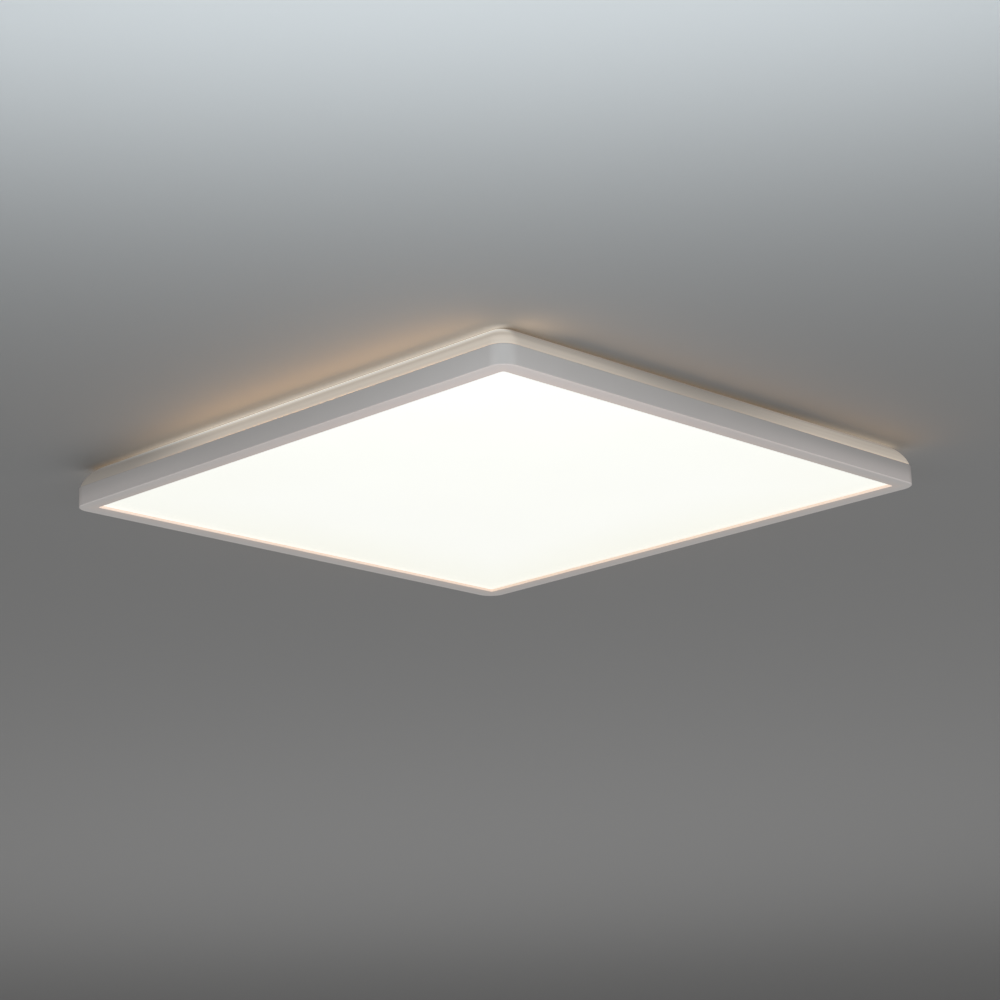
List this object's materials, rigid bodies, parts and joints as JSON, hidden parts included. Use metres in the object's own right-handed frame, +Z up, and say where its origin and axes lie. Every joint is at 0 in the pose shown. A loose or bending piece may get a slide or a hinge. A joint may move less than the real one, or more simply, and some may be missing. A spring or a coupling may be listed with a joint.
{
  "type": "flat square ceiling light",
  "caption": "Flat square LED ceiling light: lit diffuser in a slim frame, glowing convex rear shell, slid onto a steel ceiling bracket with a terminal bay beside it.",
  "frame": {"origin": "middle of the bracket's two screw slots, on the face that lies against the ceiling", "axes": "+Z up into the ceiling, +X the way the lamp slides off its hooks, +Y towards the terminal bay"},
  "size_m": [0.42, 0.42, 0.0286],
  "materials": {
    "back_plate": "mill finish",
    "bezel_frame": "satin",
    "block_screws": "bright zinc",
    "ceiling_bracket": "bright zinc",
    "ceiling_pads": "foam",
    "clamp_springs": "bright zinc",
    "corner_jumpers": "wire sleeve",
    "diffuser": "opal, lit",
    "driver_base": "satin",
    "driver_board": "solder mask",
    "driver_capacitors": "sleeve",
    "driver_chips": "moulded",
    "driver_choke": "enamelled copper",
    "driver_connectors": "satin",
    "driver_cover": "satin",
    "driver_screws": "bright zinc",
    "lead_clips": "satin",
    "lead_grommet": "moulded",
    "led_rail_east": "mill finish",
    "led_rail_north": "mill finish",
    "led_rail_south": "mill finish",
    "led_rail_west": "mill finish",
    "led_strip_east": "solder mask",
    "led_strip_north": "solder mask",
    "led_strip_south": "solder mask",
    "led_strip_west": "solder mask",
    "leds_east": "lit",
    "leds_north": "lit",
    "leds_south": "lit",
    "leds_west": "lit",
    "lid_hinge_pin": "bright zinc",
    "light_guide": "clear",
    "live_button": "satin",
    "live_lead": "wire sleeve",
    "negative_lead": "wire sleeve",
    "neutral_button": "satin",
    "neutral_lead": "wire sleeve",
    "positive_lead": "wire sleeve",
    "press_pads": "foam",
    "rail_screws": "bright zinc",
    "rear_shell": "milky satin",
    "reflector_sheet": "white film",
    "terminal_block": "satin",
    "terminal_contacts": "bare",
    "terminal_lid": "milky satin",
    "transformer_core": "ferrite",
    "transformer_winding": "tape"
  },
  "bodies": {
    "ceiling_bracket": {"ceiling_bracket": "ceiling_bracket"},
    "lamp": {"back_plate": "back_plate", "bezel_frame": "bezel_frame", "block_screws": "block_screws", "ceiling_pads": "ceiling_pads", "clamp_springs": "clamp_springs", "corner_jumpers": "corner_jumpers", "diffuser": "diffuser", "driver_base": "driver_base", "driver_board": "driver_board", "driver_capacitors": "driver_capacitors", "driver_chips": "driver_chips", "driver_choke": "driver_choke", "driver_connectors": "driver_connectors", "driver_cover": "driver_cover", "driver_screws": "driver_screws", "lead_clips": "lead_clips", "lead_grommet": "lead_grommet", "led_rail_east": "led_rail_east", "led_rail_north": "led_rail_north", "led_rail_south": "led_rail_south", "led_rail_west": "led_rail_west", "led_strip_east": "led_strip_east", "led_strip_north": "led_strip_north", "led_strip_south": "led_strip_south", "led_strip_west": "led_strip_west", "leds_east": "leds_east", "leds_north": "leds_north", "leds_south": "leds_south", "leds_west": "leds_west", "lid_hinge_pin": "lid_hinge_pin", "light_guide": "light_guide", "live_lead": "live_lead", "negative_lead": "negative_lead", "neutral_lead": "neutral_lead", "positive_lead": "positive_lead", "press_pads": "press_pads", "rail_screws": "rail_screws", "rear_shell": "rear_shell", "reflector_sheet": "reflector_sheet", "terminal_block": "terminal_block", "terminal_contacts": "terminal_contacts", "transformer_core": "transformer_core", "transformer_winding": "transformer_winding"},
    "terminal_lid": {"terminal_lid": "terminal_lid"},
    "live_button": {"live_button": "live_button"},
    "neutral_button": {"neutral_button": "neutral_button"}
  },
  "joints": [
    {"name": "lamp_slide", "type": "slide", "parent": "ceiling_bracket", "child": "lamp", "axis": [1, 0, 0], "range_m": [0, 0.0165]},
    {"name": "lid_hinge", "type": "hinge", "parent": "lamp", "child": "terminal_lid", "pos_m": [0, 0.0809, -0.0025], "axis": [-1, 0, 0], "range_deg": [0, 105]},
    {"name": "live_button_press", "type": "slide", "parent": "lamp", "child": "live_button", "axis": [0, 0, -1], "range_m": [0, 0.0016], "stiffness_N_per_m": 800, "springref_m": -0.001},
    {"name": "neutral_button_press", "type": "slide", "parent": "lamp", "child": "neutral_button", "axis": [0, 0, -1], "range_m": [0, 0.0016], "stiffness_N_per_m": 800, "springref_m": -0.001}
  ]
}
